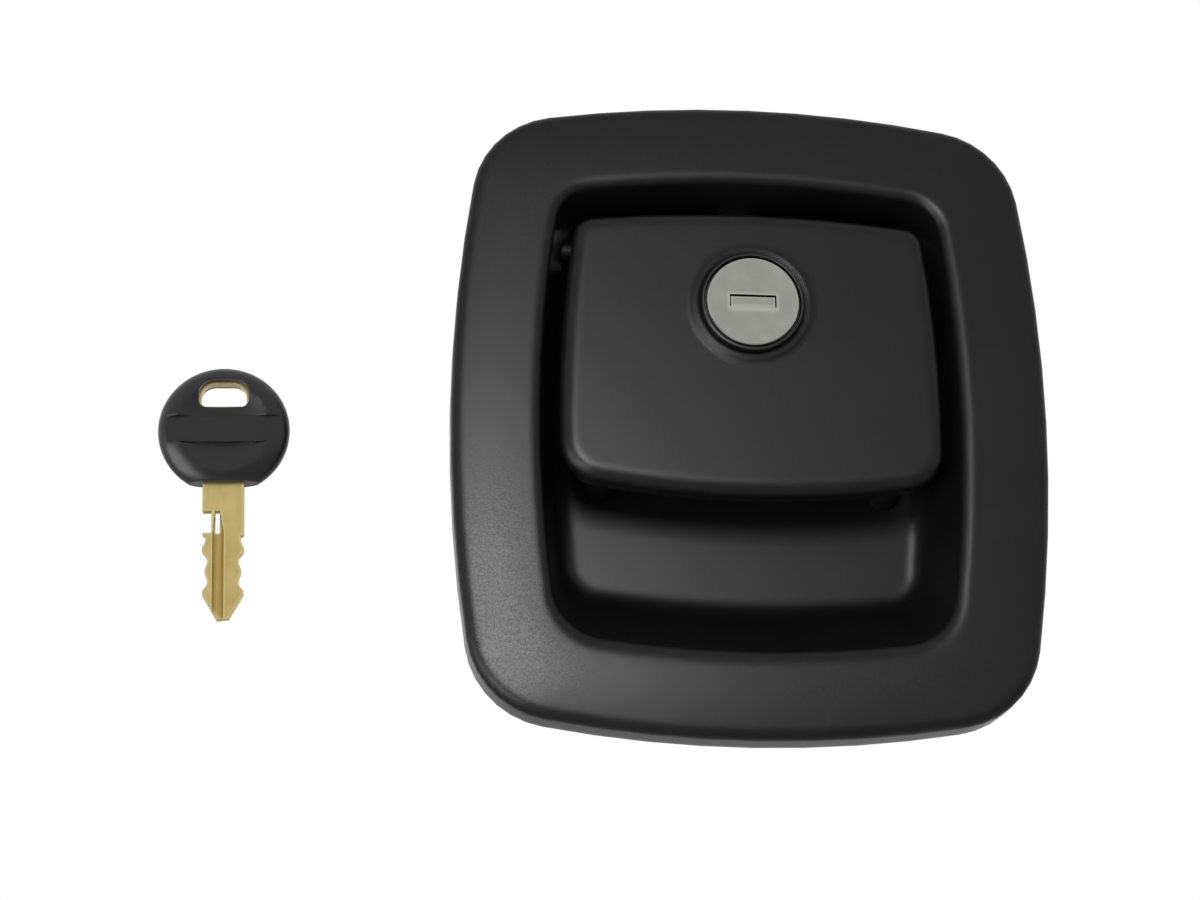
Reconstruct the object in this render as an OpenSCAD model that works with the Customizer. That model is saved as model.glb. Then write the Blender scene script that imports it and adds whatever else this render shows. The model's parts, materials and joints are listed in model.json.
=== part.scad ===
// Flush compartment door latch: cast pan, pull paddle, key lock and spring bolt, with its key.
// Millimetres. Seen from the front X is right and Z is up; Y runs into the compartment.
// The origin is the middle of the bezel, on the door skin that the gasket presses against.

/* [Bezel] */
// Width across the middle
bezel_w = 120; // [117:0.5:125]
// Height up the middle
bezel_h = 132.6; // [130:0.2:138]
// Radius of the bowed left and right sides
side_r = 300; // [280:5:360]
// Radius of the bowed top and bottom
end_r = 248; // [235:1:300]
// Corner radius
corner_r = 18.5; // [16:0.5:21]
// Height of the rim from its edge to the face
rim_h = 8.6; // [8.3:0.1:9.2]
// Rounding of the rim
rim_round = 2; // [1.2:0.1:2.4]
// Rise of the face from the rim to the mouth
face_rise = 0.6; // [0.3:0.1:1]
// Thickness of the cast face behind the mouth
face_t = 3.1; // [2.8:0.1:3.5]
// Thickness of the cast walls
wall_t = 2.6; // [2.3:0.1:2.9]
// Thickness of the foam gasket
gasket_t = 1.5; // [1.2:0.1:1.8]
// Inset of the gasket from the rim's edge
gasket_inset = 1; // [0.6:0.1:1.4]

/* [Pan] */
// Width of the mouth across the middle
mouth_w = 88.2; // [87:0.1:90]
// Mouth's top above the origin
mouth_top = 51; // [50.4:0.1:51.6]
// Mouth's bottom below the origin
mouth_low = 52.5; // [52:0.1:53.5]
// Rounding of the mouth's edge
mouth_round = 2; // [1.6:0.1:2.4]
// Extra width of the rounding on the bottom edge, for the fingers
mouth_lip = 1.8; // [1.2:0.1:2.2]
// Corner radius at the mouth's top
mouth_top_r = 9.5; // [9:0.1:11]
// Corner radius at the mouth's bottom
mouth_low_r = 13; // [12:0.5:14]
// Depth of the pan's floor behind the door skin
floor_depth = 8.5; // [8.2:0.1:9]
// Thickness of the pan's floor
floor_t = 2.5; // [2.2:0.1:2.8]
// Width of the floor
floor_w = 76; // [75:0.1:77]
// Floor's top above the origin
floor_top = 46.5; // [46:0.1:47]
// Floor's bottom below the origin
floor_low = 37; // [36:0.1:38]
// Rounding between wall and floor
floor_round = 3; // [2.4:0.1:3.4]
// Radius of the pocket that takes the back of the lock
pocket_r = 15.5; // [15:0.1:16]
// Free depth in the pocket behind the lock's cam
pocket_gap = 0.9; // [0.7:0.1:1.1]
// Thickness of the ribs behind the face
rib_t = 2; // [1.6:0.1:2.4]
// End ribs from the middle
rib_x = 21; // [16:1:26]
// Side ribs above and below the middle
rib_z = 23; // [16:1:26]
// Gap between the ribs and the gasket
rib_gap = 1; // [0.5:0.1:2]

/* [Mounting] */
// Inset of the studs from the bezel's sides
stud_inset_x = 13.5; // [13:0.5:14]
// Inset of the studs from the bezel's top and bottom
stud_inset_z = 13.8; // [13.3:0.1:14.3]
// Stud thread diameter
stud_d = 5; // [4.5:0.1:5.5]
// Stud's length behind the door skin
stud_out = 16; // [12:1:20]
// Length of the taper at the stud's end
stud_lead = 1; // [0.6:0.1:1.4]
// Extra radius of the stud's root, which is set in its boss
root_extra = 0.4; // [0.3:0.1:0.6]
// Metal left in front of the stud's root
root_cover = 0.8; // [0.6:0.1:1]
// Wall of the bosses round the studs
boss_wall = 2; // [1.8:0.1:2.4]

/* [Paddle] */
// Gap between the paddle's side and the pan's wall
paddle_side_gap = 3.6; // [3.2:0.1:4]
// Gap between the paddle's top and the pan's wall
paddle_top_gap = 6.5; // [6.2:0.1:7]
// Height of the paddle
paddle_h = 60.5; // [59.5:0.5:61.5]
// Radius of the paddle's bowed sides
paddle_side_r = 265; // [250:5:290]
// Radius of the paddle's bowed top
paddle_top_r = 280; // [260:5:320]
// Radius of the paddle's bowed bottom
paddle_low_r = 200; // [180:5:240]
// Corner radius at the paddle's top
paddle_corner_top = 4.5; // [4.2:0.1:6]
// Corner radius at the paddle's bottom
paddle_corner_low = 8.5; // [8:0.5:10]
// How far the paddle's front stands out from the face
paddle_proud = 0.8; // [0.4:0.1:1]
// Rounding of the paddle's front edge
paddle_round = 3; // [2.4:0.1:3.2]
// Thickness of the paddle's front and walls
paddle_t = 2.6; // [2.4:0.1:2.8]
// Depth of the paddle's walls behind its front
paddle_depth = 8.8; // [8.5:0.1:8.9]
// Draft of the paddle's walls over their depth
paddle_draft = 1; // [0.6:0.1:1.2]
// Width of each hinge ear
ear_w = 4; // [3.5:0.1:4.2]
// Gap between the hinge bush and the pan's wall
ear_gap = 1.15; // [1:0.05:1.4]
// Radius of each hinge ear
ear_r = 5; // [4.8:0.1:5.2]
// Thickness of the rib below each ear
ear_rib_t = 1.6; // [1.4:0.1:2]
// Distance from the floor's side to each rubber bumper
bumper_inset = 8.6; // [8:0.1:9]
// Bumpers below the origin
bumper_low = 11; // [10:0.5:12]
// Radius of each bumper
bumper_r = 3.5; // [3:0.1:3.8]
// Radius of the bumper's stem
bumper_stem_r = 1.8; // [1.5:0.1:2]
// Height of the bumper's head behind the floor
bumper_head_h = 1.2; // [1:0.1:1.5]

/* [Hinge] */
// Diameter of the hinge pin
pin_d = 4; // [3.8:0.1:4.2]
// Hinge pin's depth behind the door skin
hinge_depth = 2.2; // [2.2:0.1:2.5]
// Hinge pin's distance below the paddle's top
hinge_drop = 4.8; // [4.6:0.1:5]
// Radial running clearance on pins
run_gap = 0.05; // [0.03:0.01:0.08]
// Wall of the plastic hinge bushes
bush_t = 1; // [0.8:0.1:1.1]
// Thickness of the bush's flange
bush_lip = 0.8; // [0.6:0.1:1]
// Extra radius of the bush's flange
bush_flange = 1; // [0.8:0.1:1.1]
// Thickness of the pin's clips
clip_t = 0.8; // [0.6:0.1:1]
// Outer radius of the pin's clips
clip_r = 3.4; // [3.2:0.1:3.5]
// Depth of the clip's groove in the pin
groove_d = 0.5; // [0.4:0.05:0.6]
// Length of the bosses that carry the pin
pin_boss_w = 2.6; // [2.2:0.1:3]

/* [Return spring] */
// Wire radius of the paddle's return spring
return_wire = 0.55; // [0.45:0.05:0.6]
// Gap between the return spring and the pin
return_gap = 1; // [0.8:0.1:1.1]
// Length of the return spring's coil
return_w = 5.4; // [5:0.1:5.8]
// Turns of the return spring
return_turns = 3; // [2:1:3]
// Thickness of the ledge under the spring's leg
ledge_t = 1.6; // [1.4:0.1:2]

/* [Trip arm] */
// Distance from the hinge pin to the arm's nose
arm_len = 29; // [28.6:0.1:29.2]
// Angle of the arm above level when the paddle is shut
arm_tilt = 15; // [14:0.5:15]
// Thickness of the arm
arm_w = 6; // [5:0.2:6.4]
// Radius of the arm's nose
nose_r = 2.6; // [2.4:0.1:2.8]
// Half thickness of the arm behind the nose
arm_half = 1.9; // [1.7:0.1:2]
// Radius of the arm's hub
hub_r = 4.6; // [4.4:0.1:4.8]
// Length of the arm's hub along the pin
hub_w = 16; // [14:0.5:17]
// Thickness of the arm's foot
foot_t = 2.5; // [2.2:0.1:2.8]
// Distance from the middle to each foot screw
foot_screw_x = 17; // [16.8:0.1:17.2]
// Foot screws below the hinge pin
foot_screw_drop = 4.5; // [4.3:0.1:4.7]
// Width of each foot pad
pad_w = 7.4; // [7:0.1:7.8]
// Foot pad's reach below its screw
pad_drop = 4.4; // [4:0.1:4.6]
// Height of the screw bosses behind the paddle's front
foot_rise = 2.2; // [2:0.1:2.4]
// Radius of the screw bosses
foot_boss_r = 3.6; // [3.2:0.1:3.8]
// Radius of the foot screws
foot_screw_r = 1.2; // [1.1:0.05:1.3]
// Radius of the foot screws' heads
foot_head_r = 2.7; // [2.4:0.1:2.9]
// Height of the foot screws' heads
foot_head_h = 1.7; // [1.5:0.1:1.8]

/* [Lock] */
// Lock's axis below the paddle's top
lock_drop = 20.3; // [20:0.1:20.6]
// Radius of the lock's bright face
lock_face_r = 9.36; // [9.2:0.02:9.4]
// How far the lock's face stands out from the paddle
lock_proud = 1.8; // [1.6:0.1:2]
// Thickness of the lock's face
lock_face_t = 1.4; // [1.3:0.1:1.5]
// Open gap round the lock's face
lock_face_gap = 0.44; // [0.36:0.02:0.5]
// Outer radius of the lock's collar
collar_r = 10.4; // [10.3:0.1:10.5]
// Radius of the raised bead round the lock
bead_r = 11.5; // [11.4:0.1:11.8]
// Height of the raised bead
bead_h = 0.8; // [0.6:0.1:0.8]
// Radius of the lock's barrel
barrel_r = 9.2; // [9.1:0.1:9.4]
// Radius of the plug
plug_r = 7; // [6.9:0.1:7.1]
// Solid end of the plug behind the key's tip
plug_over = 1.2; // [1:0.1:1.4]
// Width of the keyway
keyway_w = 9; // [8.8:0.1:9.2]
// Height of the keyway
keyway_h = 2.6; // [2.5:0.1:2.8]
// Across flats of the lock's fixing nut
nut_flats = 20.6; // [20.4:0.1:21]
// Thickness of the lock's fixing nut
nut_t = 3.6; // [3:0.1:4]
// Reach of the lock's cam from its axis
cam_reach = 11; // [10:0.1:11.4]
// Width of the lock's cam
cam_w = 8; // [7:0.1:8.4]
// Thickness of the lock's cam
cam_t = 1.5; // [1.2:0.1:1.6]
// Number of wafers
wafer_count = 5; // [4:1:6]
// Thickness of one wafer
wafer_t = 1; // [0.8:0.1:1.1]
// Width of one wafer
wafer_w = 10.4; // [10:0.1:10.6]
// Height of one wafer
wafer_h = 7.4; // [7:0.1:7.6]
// First wafer behind the lock's face
wafer_start = 6.4; // [6:0.1:6.8]
// Distance from wafer to wafer
wafer_pitch = 2.6; // [2.4:0.1:2.7]
// Thickness of the shutter
shutter_t = 0.6; // [0.5:0.05:0.6]
// Depth of the shutter behind the lock's face
shutter_sink = 0.35; // [0.3:0.05:0.4]
// Height of the cam screw's head
cam_head_h = 1.2; // [1:0.1:1.3]
// Radius of the cam screw's head
cam_head_r = 2.6; // [2.3:0.1:2.8]
// Radius of the cam screw
cam_screw_r = 1.28; // [1.2:0.02:1.3]

/* [Bolt] */
// Width of the bolt
bolt_w = 16; // [15:0.2:16.4]
// Thickness of the bolt
bolt_t = 13.5; // [13.2:0.1:14]
// Bolt's top above the origin
bolt_top = 77; // [76:0.5:80]
// Bolt's foot above the origin
bolt_foot = 18; // [16:0.5:20]
// Height of the bevel at the bolt's top
bevel_h = 15; // [13:0.5:15.5]
// Flat left at the bolt's tip
bevel_tip = 3.5; // [3:0.1:5]
// Side gap between the bolt and its guide
guide_gap = 0.15; // [0.12:0.01:0.2]
// Gap between the arm's nose and the bolt
nose_gap = 0.3; // [0.25:0.05:0.4]
// Thickness of the guide's steel
guide_t = 2; // [1.6:0.1:2.2]
// Thickness of the plate under the guide
plate_t = 1.5; // [1.2:0.1:1.6]
// Gap between the lock's pocket and the guide's plate
post_gap = 0.6; // [0.5:0.1:0.8]
// Radius of the posts
post_r = 4.5; // [4:0.1:4.8]
// Distance from the middle to each post
post_x = 17; // [16.6:0.1:17.4]
// Upper posts above the origin
post_top = 42; // [41.6:0.1:42]
// Lower posts below the origin
post_low = 6; // [5:0.5:7]
// Radius of the guide's screw feet
guide_foot_r = 6; // [5.5:0.1:6.4]
// Radius of the guide's screws
screw_r = 2; // [1.8:0.1:2.1]
// Radius of the guide screws' heads
head_screw_r = 3.6; // [3.3:0.1:3.8]
// Height of the guide screws' heads
head_screw_h = 2.4; // [2.1:0.1:2.6]
// Radius of the holes in the guide's back
guide_hole_r = 3; // [2:0.1:3.4]
// Lower hole above the origin
guide_hole_low = 6; // [2:1:10]
// Distance between the holes
guide_hole_span = 24; // [20:1:28]
// Guide's top above the origin
guide_top = 62; // [60:0.5:63]
// Spring seat below the origin
seat_low = 18; // [17:0.5:20]
// Outer radius of the bolt's spring
spring_r = 4.6; // [4.2:0.1:5]
// Wire radius of the bolt's spring
wire_r = 0.6; // [0.5:0.05:0.65]
// Turns of the bolt's spring
spring_turns = 8; // [6:0.5:9]
// Depth of the spring's pocket in the bolt
spring_pocket = 3; // [2:0.1:4]
// Room over the arm's nose in the bolt's slot
slot_clear = 1.3; // [1:0.1:1.5]
// Slope at the mouth of the bolt's slot
slot_lead = 2.8; // [2.6:0.1:3]

/* [Key] */
// Key's middle from the origin
key_x = -104.4; // [-110:0.2:-100]
// Key shoulder above the origin
key_z = -16.2; // [-20:0.1:-10]
// Lean of the key in its own plane
key_lean = 2.1; // [0:0.1:4]
// Radius of the key's head
head_r = 12.9; // [12.4:0.1:13.4]
// Thickness of the key's head
head_t = 7; // [6.4:0.1:7.6]
// Rounding of the head's edge
head_round = 2.6; // [2:0.1:3]
// How far the shoulder cuts into the head's round
head_cut = 2; // [1.6:0.1:2.4]
// Radius of the dish in the head's faces
dish_r = 45; // [40:1:60]
// Depth of the dish
dish_d = 1; // [0.6:0.1:1.2]
// Middle of the flat band above the shoulder
band_z = 10.5; // [10:0.1:11]
// Height of the flat band
band_h = 5.4; // [5:0.1:5.6]
// Half width of the flat band
band_half = 11.85; // [11.4:0.05:12]
// Radius of the blade's bow inside the head
bow_r = 11; // [10.8:0.1:11.2]
// Height of the blade's shank inside the head
shank_h = 4; // [3:0.1:5]
// Width of the blade
blade_w = 8.1; // [7.9:0.1:8.3]
// Length of the blade below the shoulder
blade_len = 27.5; // [27:0.1:27.6]
// Thickness of the blade
blade_t = 2.2; // [2:0.1:2.3]
// Notch below the shoulder
notch_drop = 5.8; // [5.4:0.1:6.2]
// Height of the notch
notch_h = 4.4; // [4:0.1:4.6]
// Depth of the notch
notch_d = 1.75; // [1.5:0.05:1.9]
// Web left between the notch and the slot
notch_web = 0.75; // [0.6:0.05:0.9]
// Width of the slot beside the notch
slot_w = 0.9; // [0.7:0.05:1]
// First cut below the shoulder
cut_start = 11.45; // [11.3:0.05:11.6]
// Distance from cut to cut
cut_pitch = 4.3; // [4.2:0.05:4.4]
// Length of the flat in each cut
cut_flat = 1; // [0.8:0.05:1.1]
// Width of the blade's tip
tip_w = 2.4; // [2:0.1:2.8]
// Width of the groove milled along the blade
groove_w = 2.1; // [1.8:0.1:2.3]
// Depth of the groove
groove_t = 0.6; // [0.4:0.05:0.7]
// Width of the hole for a key ring
ring_hole_w = 9.8; // [9:0.1:10.4]
// Height of the hole for a key ring
ring_hole_h = 5.7; // [5.4:0.1:5.9]
// Hole below the head's top
ring_hole_drop = 2.9; // [2.6:0.1:3.2]
// How far the blade's bow shows inside the hole
ring_hole_lip = 0.45; // [0.4:0.01:0.5]

/* [Hidden] */
$fn = 72;
soft = 6;
overlap_t = 0.6;
over = 1;
press = 0.02;
seat_gap = 0.1;
part_gap = 0.3;
hole_gap = 0.3;
black = [0.045, 0.045, 0.048];
steel = [0.62, 0.63, 0.64];
zinc = [0.74, 0.73, 0.69];
brass = [0.72, 0.55, 0.23];
rubber = [0.07, 0.07, 0.07];
nylon = [0.85, 0.84, 0.8];

// Planes from front to back
rim_y = -gasket_t;
face_y = rim_y - rim_h;
mouth_y = face_y - face_rise;
under_y = mouth_y + face_t;
wall_y = mouth_y + mouth_round;
floor_y = floor_depth;
back_y = floor_y + floor_t;
paddle_y = mouth_y - paddle_proud;
paddle_back = paddle_y + paddle_depth;
inner_y = paddle_y + paddle_t;

// Outline forms: half width, top, bottom, side, top and bottom radii, corner radii
half_gap = (bezel_w - mouth_w) / 2;
bezel_form = [bezel_w / 2, bezel_h / 2, -bezel_h / 2, side_r, end_r, end_r, corner_r, corner_r];
mouth_side_r = side_r - half_gap;
mouth_end_r = end_r - half_gap;
mouth_form = [mouth_w / 2, mouth_top, -mouth_low, mouth_side_r, mouth_end_r, mouth_end_r,
    mouth_top_r, mouth_low_r];
wall_form = grow(mouth_form, -mouth_round) + [0, 0, mouth_lip, 0, 0, 0, 0, 0];
floor_form = [floor_w / 2, floor_top, -floor_low, mouth_side_r, mouth_end_r, mouth_end_r,
    mouth_top_r - mouth_round, mouth_top_r - mouth_round];
floor_rise = floor_round / (floor_y - wall_y);
stud_span_x = bezel_w - 2 * stud_inset_x;
stud_span_z = bezel_h - 2 * stud_inset_z;
stud_r = stud_d / 2;
root_r = stud_r + root_extra;
paddle_top = wall_form[1] - paddle_top_gap;
paddle_form = [wall_form[0] - paddle_side_gap, paddle_top, paddle_top - paddle_h, paddle_side_r,
    paddle_top_r, paddle_low_r, paddle_corner_top, paddle_corner_low];

// Hinge and trip arm
hinge_z = paddle_top - hinge_drop;
pin_r = pin_d / 2;
pin_bore = pin_r + run_gap;
bush_r = pin_bore + bush_t;
bush_flange_r = bush_r + bush_flange;
ear_end = side_at(wall_in(hinge_depth + bush_flange_r), hinge_z) - ear_gap - bush_lip;
ear_x = ear_end - ear_w;
pin_boss_x = side_at(wall_out(hinge_depth - clip_r), hinge_z) + part_gap;
clip_x = pin_boss_x + seat_gap;
pin_half = clip_x + clip_t + part_gap;
bumper_x = floor_w / 2 - bumper_inset;
bumper_z = -bumper_low;
nose_y = hinge_depth + arm_len * cos(arm_tilt);
nose_z = hinge_z + arm_len * sin(arm_tilt);
stroke = 2 * arm_len * sin(arm_tilt);
foot_base = inner_y + foot_rise;
foot_y = foot_base + foot_t;
foot_screw_z = hinge_z - foot_screw_drop;
foot_top_gap = 1.5;
return_r = pin_r + return_gap + return_wire;
return_x = ear_x - part_gap - return_w;
return_angle = 64;

// Lock
lock_z = paddle_top - lock_drop;
plug_face_y = paddle_y - lock_proud;
plug_step_y = plug_face_y + lock_face_t;
collar_sink = 0.2;
collar_y = plug_face_y + collar_sink;
seat_y = plug_step_y + collar_sink;
plug_end = plug_face_y + blade_len + plug_over;
barrel_end = plug_end - part_gap;
cam_y = plug_end + run_gap;
shutter_y = plug_face_y + shutter_sink;
shutter_gap = 0.25;
shutter_h = keyway_h - shutter_gap - part_gap;
shutter_z = lock_z - keyway_h / 2 + shutter_gap;
knuckle_r = 0.75;
shutter_axis_y = shutter_y + knuckle_r;
shutter_pin_r = 0.35;
wafer_first = plug_step_y + wafer_start;

// Pocket behind the lock, then the bolt and its guide
pocket_y = cam_y + cam_t + cam_head_h + pocket_gap;
plate_y = pocket_y + floor_t + post_gap;
flange_y = plate_y + plate_t;
bolt_y = flange_y + guide_gap;
bolt_back = bolt_y + bolt_t;
guide_back = bolt_back + guide_gap;

// Room for the arm in the plate, and the slot in the bolt
arm_low = hinge_z - (plate_y + plate_t - hinge_depth) * tan(arm_tilt) - hub_r;
arm_high = hinge_z + (plate_y + plate_t - hinge_depth) * tan(arm_tilt) + hub_r;
slot_z = nose_z - nose_r - nose_gap;
slot_top = nose_z + nose_r + stroke + slot_clear;
slot_end_gap = 0.5;
slot_y = hinge_depth + arm_len + nose_r + slot_end_gap;
bolt_mid_y = bolt_y + bolt_t / 2;
spring_end_gap = 0.05;
strip_half = bolt_w / 2 + guide_gap + guide_t;

// Key: cut depths from the shoulder down, and the tops left between them
head_mid = head_r - head_cut;
blade_half = blade_w / 2;
blade_y = -head_t / 2;
slot_x = notch_d + notch_web - blade_half;
cut_depths = [0.65, 1.05, 1.05];
top_depths = [0, 0.55, 0.1];
ring_hole_top = head_mid + head_r - ring_hole_drop;
ring_high_r = 3.2;
ring_low_r = 1.4;

// Moves an outline in or out, keeping its centres
function grow(p, d) = [p[0] + d, p[1] + d, p[2] - d, p[3] + d, p[4] + d, p[5] + d,
    max(0.4, p[6] + d), max(0.4, p[7] + d)];

// Blends between two values, and along a curve through a corner
function mix(a, b, t) = a + (b - a) * t;
function bend(a, b, c, t) = mix(mix(a, b, t), mix(b, c, t), t);

// Inside and outside of the pan's wall at depth y, and where a bowed outline is at height z or at x
function wall_in(y) = mix(wall_form, floor_form, (y - wall_y) / (floor_y - wall_y));
function wall_out(y) =
    mix(grow(wall_form, wall_t), grow(floor_form, wall_t), (y - under_y) / (back_y - wall_t / 2 - under_y));
function side_at(p, z) = p[0] - p[3] + sqrt(p[3] * p[3] - z * z);
function top_at(p, x) = p[1] - p[4] + sqrt(p[4] * p[4] - x * x);
function low_at(p, x) = p[2] + p[5] - sqrt(p[5] * p[5] - x * x);

// Centre of the corner arc that is tangent inside a side arc and an end arc
function corner_at(s, rs, e, re) =
    let(d = norm(e - s), u = (e - s) / d, m = (rs * rs - re * re + d * d) / (2 * d))
    s + u * m + [-u[1], u[0]] * sqrt(rs * rs - m * m);

// Points on an arc, without its last
function arc(c, r, a, b, n) =
    [for (i = [0:n - 1]) c + r * [cos(mix(a, b, i / n)), sin(mix(a, b, i / n))]];

// A quarter of a bowed outline, from the side's middle up to the end's middle
function quarter(w, h, rs, re, rc) =
    let(s = [w - rs, 0], e = [0, h - re], c = corner_at(s, rs - rc, e, re - rc))
    let(a = atan2(c[1] - s[1], c[0] - s[0]), b = atan2(c[1] - e[1], c[0] - e[0]))
    concat(arc(s, rs, 0, a, 4), arc(c, rc, a, b, 7), arc(e, re, b, 90, 4));

// A whole bowed outline, anticlockwise from the right
function bowed(p) =
    let(q = quarter(p[0], p[1], p[3], p[4], p[6]), k = quarter(p[0], -p[2], p[3], p[5], p[7]))
    let(n = len(q) - 1)
    concat(q, [[0, p[1]]], [for (i = [n:-1:0]) [-q[i][0], q[i][1]]],
        [for (i = [1:n]) [-k[i][0], -k[i][1]]], [[0, p[2]]], [for (i = [n:-1:1]) [k[i][0], -k[i][1]]]);
function ring(p, y) = [for (q = bowed(p)) [q[0], y, q[1]]];

// Skins a closed solid over rings that have the same number of points
module loft(rings) {
    n = len(rings[0]);
    m = len(rings);
    sides = [for (k = [0:m - 2], i = [0:n - 1])
        [k * n + i, k * n + (i + 1) % n, (k + 1) * n + (i + 1) % n, (k + 1) * n + i]];
    first = [[for (i = [n - 1:-1:0]) i]];
    last = [[for (i = [0:n - 1]) (m - 1) * n + i]];
    polyhedron([for (r = rings, p = r) p], concat(first, sides, last), convexity = 8);
}

// Round bar or hole along Y, from y0 to y1
module bar_y(x, z, r, y0, y1) {
    translate([x, y0, z])
        rotate([-90, 0, 0])
            cylinder(r = r, h = y1 - y0);
}

// Round bar or hole along X, from x0 to x1
module bar_x(y, z, r, x0, x1) {
    translate([x0, y, z])
        rotate([0, 90, 0])
            cylinder(r = r, h = x1 - x0);
}

// Box between two corners
module box(a, b) {
    translate(a)
        cube(b - a);
}

// Flat shape in X and Z, from y0 to y1
module slab(y0, y1) {
    translate([0, y1, 0])
        rotate([90, 0, 0])
            linear_extrude(height = y1 - y0)
                children();
}

// Flat shape in Y and Z, from x0 to x1
module web(x0, x1) {
    translate([x0, 0, 0])
        rotate([90, 0, 90])
            linear_extrude(height = x1 - x0)
                children();
}

// The same piece on the left and the right
module both_sides() {
    children();
    mirror([1, 0, 0])
        children();
}

// The same piece at each stud, and at each guide post
module at_studs() {
    for (x = [-stud_span_x / 2, stud_span_x / 2], z = [-stud_span_z / 2, stud_span_z / 2])
        translate([x, 0, z])
            children();
}
module at_posts() {
    for (x = [-post_x, post_x], z = [-post_low, post_top])
        translate([x, 0, z])
            children();
}

// Ring of wire at one place on a helix round Z, moved along the wire by shift
function wire_ring(r, wire, a, z, shift) = [for (j = [0:7])
    (r + wire * cos(45 * j)) * [cos(a), sin(a), 0] + [0, 0, z + wire * sin(45 * j)]
        + shift * [-sin(a), cos(a), 0]];

// Helical wire round Z from z = 0, turning from a to b degrees, with a straight leg at each end
module coil(r, wire, height, a, b, leg_a, leg_b) {
    steps = ceil((b - a) / 20);
    loft(concat(
        leg_a > 0 ? [wire_ring(r, wire, a, wire, -leg_a)] : [],
        [for (i = [0:steps])
            wire_ring(r, wire, mix(a, b, i / steps), mix(wire, height - wire, i / steps), 0)],
        leg_b > 0 ? [wire_ring(r, wire, b, height - wire, leg_b)] : []));
}

// Cast pan: floor, walls, rounded mouth, crowned face, rim and the hollow behind the face
module pan_shell() {
    floor_in = grow(floor_form, -floor_round);
    floor_out = mix(floor_form, wall_form, floor_rise);
    rim_form = grow(bezel_form, -rim_round);
    hollow = grow(bezel_form, -wall_t);
    loft(concat(
        [for (i = [0:soft]) ring(bend(floor_in, floor_form, floor_out, i / soft),
            bend(floor_y, floor_y, floor_y - floor_round, i / soft))],
        [for (i = [soft:-1:0]) ring(mix(mouth_form, wall_form, sin(90 * i / soft)),
            mouth_y + mouth_round * (1 - cos(90 * i / soft)))],
        [for (i = [1:4]) ring(mix(mouth_form, rim_form, i / 4), mouth_y + face_rise * pow(i / 4, 2))],
        [for (i = [1:soft]) ring(grow(rim_form, rim_round * sin(90 * i / soft)),
            face_y + rim_round * (1 - cos(90 * i / soft)))],
        [ring(bezel_form, rim_y), ring(hollow, rim_y), ring(hollow, under_y)],
        [ring(grow(wall_form, wall_t), under_y), ring(grow(floor_form, wall_t), back_y - wall_t / 2)],
        [ring(grow(floor_form, wall_t / 2), back_y)]));
}

module pan_housing() {
    arm_room = 2;
    pocket_over = 4;
    rib_back = rim_y - rib_gap;
    rib_front = under_y - overlap_t;
    color(black)
        difference() {
            union() {
                pan_shell();
                at_studs()
                    bar_y(0, 0, root_r + boss_wall, rib_front, rim_y);
                at_posts()
                    bar_y(0, 0, post_r, back_y - overlap_t, plate_y);
                bar_y(0, lock_z, pocket_r + wall_t, back_y - overlap_t, pocket_y + floor_t);
                both_sides()
                    bar_x(hinge_depth, hinge_z, hub_r, pin_boss_x - pin_boss_w, pin_boss_x);
                for (z = [-rib_z, rib_z])
                    both_sides()
                        box([side_at(wall_out(under_y), z) - overlap_t, rib_front, z - rib_t / 2],
                            [bezel_w / 2 - wall_t, rib_back, z + rib_t / 2]);
                both_sides() {
                    box([rib_x - rib_t / 2, rib_front, top_at(wall_out(under_y), rib_x) - overlap_t],
                        [rib_x + rib_t / 2, rib_back, bezel_h / 2 - wall_t]);
                    box([rib_x - rib_t / 2, rib_front, wall_t - bezel_h / 2],
                        [rib_x + rib_t / 2, rib_back, low_at(wall_out(under_y), rib_x) + overlap_t]);
                }
            }
            bar_y(0, lock_z, pocket_r, floor_y - over, pocket_y);
            box([-arm_w / 2 - arm_room, floor_y - over, arm_low],
                [arm_w / 2 + arm_room, pocket_y + pocket_over, floor_top - overlap_t]);
            bar_x(hinge_depth, hinge_z, pin_bore, -bezel_w / 2, bezel_w / 2);
            at_studs()
                bar_y(0, 0, root_r + press, under_y + root_cover, rim_y + over);
            at_posts()
                bar_y(0, 0, screw_r, back_y, plate_y + over);
            at_bumpers()
                bar_y(0, 0, bumper_stem_r, floor_y - over, back_y + over);
        }
}

module flange_gasket() {
    gasket_gap = 1.4;
    color(rubber)
        slab(rim_y, 0)
            difference() {
                polygon(bowed(grow(bezel_form, -gasket_inset)));
                polygon(bowed(grow(mouth_form, gasket_gap)));
                translate([0, hinge_z])
                    square([2 * (pin_half + part_gap), 2 * (clip_r + part_gap)], center = true);
                for (x = [-stud_span_x / 2, stud_span_x / 2], z = [-stud_span_z / 2, stud_span_z / 2])
                    translate([x, z])
                        circle(r = root_r + part_gap);
            }
}

// Studs set in the bosses by a thicker root, with a taper at the threaded end
module mounting_studs() {
    lead_y = stud_out - stud_lead;
    lead_r = stud_r - 0.8 * stud_lead;
    color(steel)
        at_studs()
            union() {
                bar_y(0, 0, root_r, under_y + root_cover + press, 0);
                bar_y(0, 0, stud_r, -overlap_t, lead_y);
                translate([0, lead_y, 0])
                    rotate([-90, 0, 0])
                        cylinder(r1 = stud_r, r2 = lead_r, h = stud_lead);
            }
}

module hinge_pin() {
    color(steel)
        difference() {
            bar_x(hinge_depth, hinge_z, pin_r, -pin_half, pin_half);
            both_sides()
                difference() {
                    bar_x(hinge_depth, hinge_z, pin_r + over, clip_x - run_gap, clip_x + clip_t + run_gap);
                    bar_x(hinge_depth, hinge_z, pin_r - groove_d, clip_x - over, clip_x + clip_t + over);
                }
        }
}

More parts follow.
